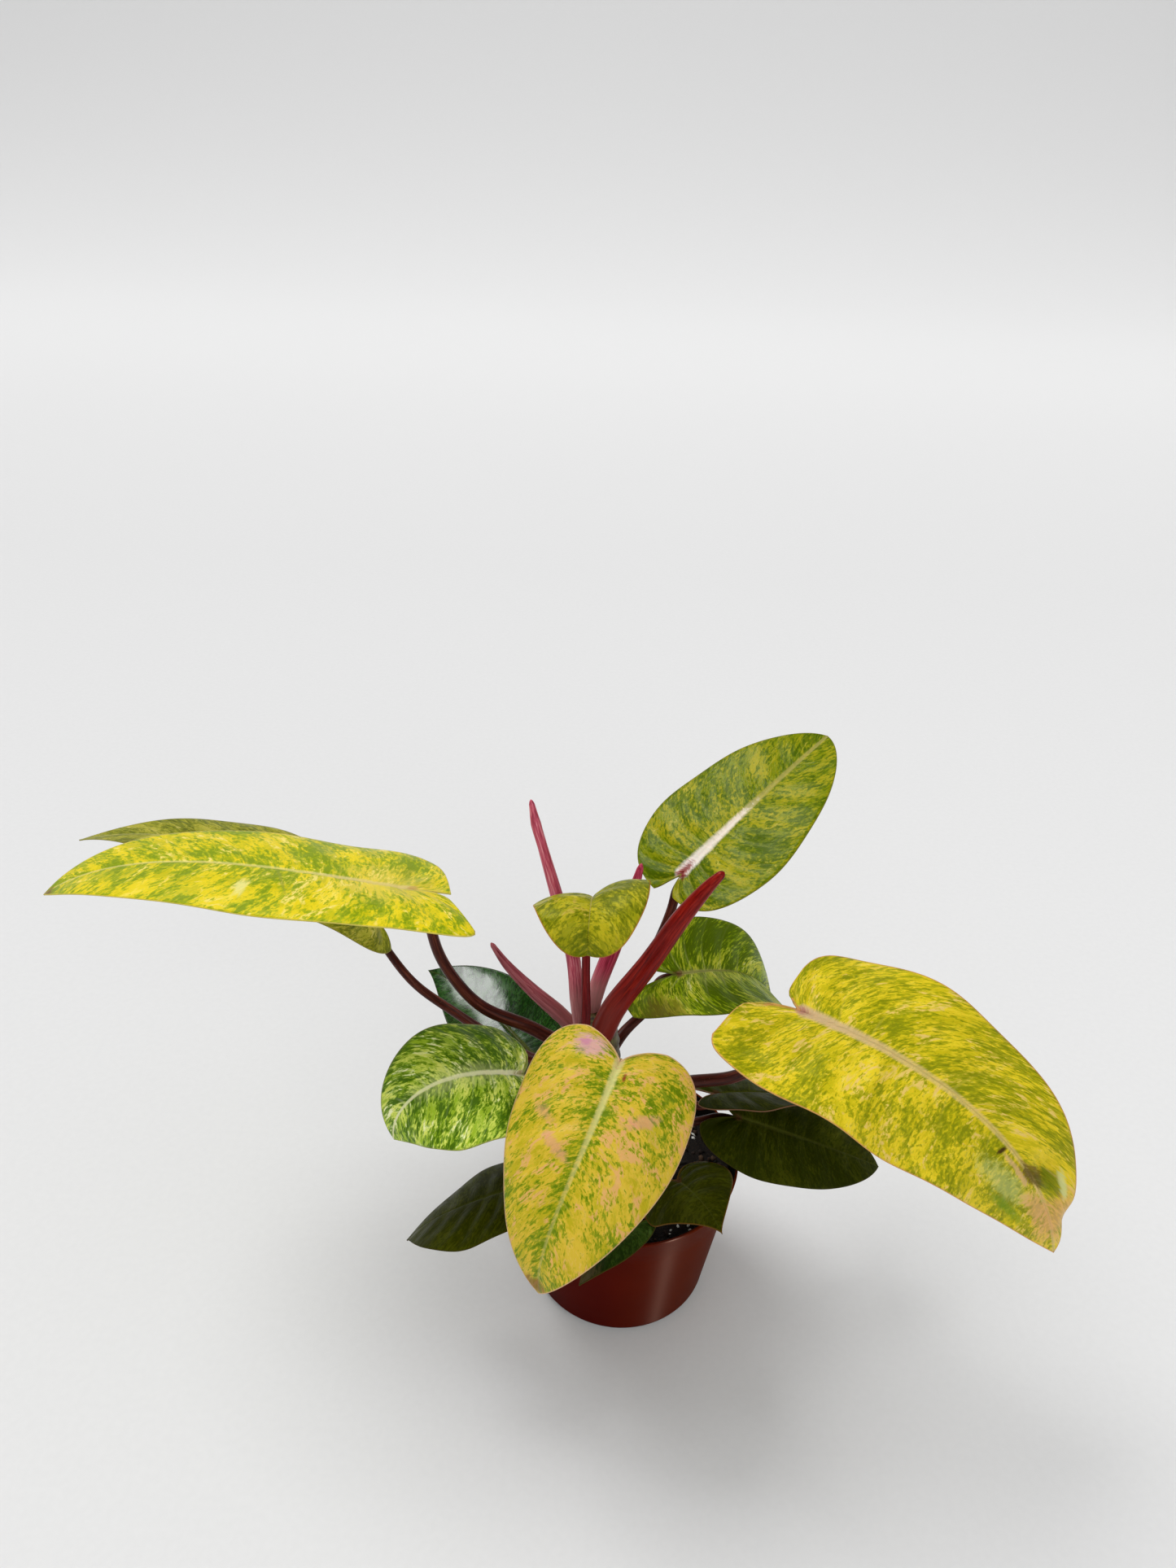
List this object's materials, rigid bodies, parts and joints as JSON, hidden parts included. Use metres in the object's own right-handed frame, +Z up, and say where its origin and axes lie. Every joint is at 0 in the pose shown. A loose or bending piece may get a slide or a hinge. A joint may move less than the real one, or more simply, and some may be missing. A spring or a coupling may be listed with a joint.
{
  "type": "potted philodendron plant",
  "caption": "Potted painted lady philodendron: marbled yellow-green blades on long dark petioles, red rolled young leaves on a short stem, in a small tapered nursery pot of dark mix.",
  "frame": {"origin": "middle of the pot's flat base, where it rests on a surface", "axes": "+Z up out of the pot; -Y toward the side that the picture shows; +X to the right in the picture"},
  "size_m": [0.5072, 0.2348, 0.3153],
  "materials": {
    "pot_plastic": "terracotta-coloured moulded polypropylene, softly glossy outside, black inside",
    "potting_mix": "dark peat and bark mix with white perlite grains",
    "stem_bark": "green-brown fleshy stem with leaf scars",
    "spear_skin": "smooth crimson to pink rolled leaves and sheaths",
    "leaf_yellow": "satin blade marbled yellow, lime and orange-pink, cream midrib",
    "leaf_green": "satin blade marbled green and cream-yellow, pale midrib",
    "leaf_shade": "glossy dark olive-green blade with faint flecks",
    "petiole_skin": "smooth dark red-brown stalk"
  },
  "bodies": {
    "root": {"pot": "pot_plastic", "soil": "potting_mix", "stem": "stem_bark", "spear_large": "spear_skin", "spear_left": "spear_skin", "spear_middle": "spear_skin", "sheath_back": "spear_skin", "blade_long_left": "leaf_yellow", "blade_long_right": "leaf_yellow", "blade_front": "leaf_yellow", "blade_far_left": "leaf_green", "blade_top_right": "leaf_green", "blade_centre_small": "leaf_green", "blade_right_back": "leaf_green", "blade_left": "leaf_green", "blade_back_left": "leaf_shade", "blade_low_left": "leaf_shade", "blade_low_right": "leaf_shade", "blade_right_under": "leaf_shade", "blade_rim_right": "leaf_shade", "blade_rim_front": "leaf_shade", "petiole_long_left": "petiole_skin", "petiole_long_right": "petiole_skin", "petiole_front": "petiole_skin", "petiole_far_left": "petiole_skin", "petiole_top_right": "petiole_skin", "petiole_centre_small": "petiole_skin", "petiole_right_back": "petiole_skin", "petiole_left": "petiole_skin", "petiole_back_left": "petiole_skin", "petiole_low_left": "petiole_skin", "petiole_low_right": "petiole_skin", "petiole_right_under": "petiole_skin", "petiole_rim_right": "petiole_skin", "petiole_rim_front": "petiole_skin"}
  },
  "joints": []
}
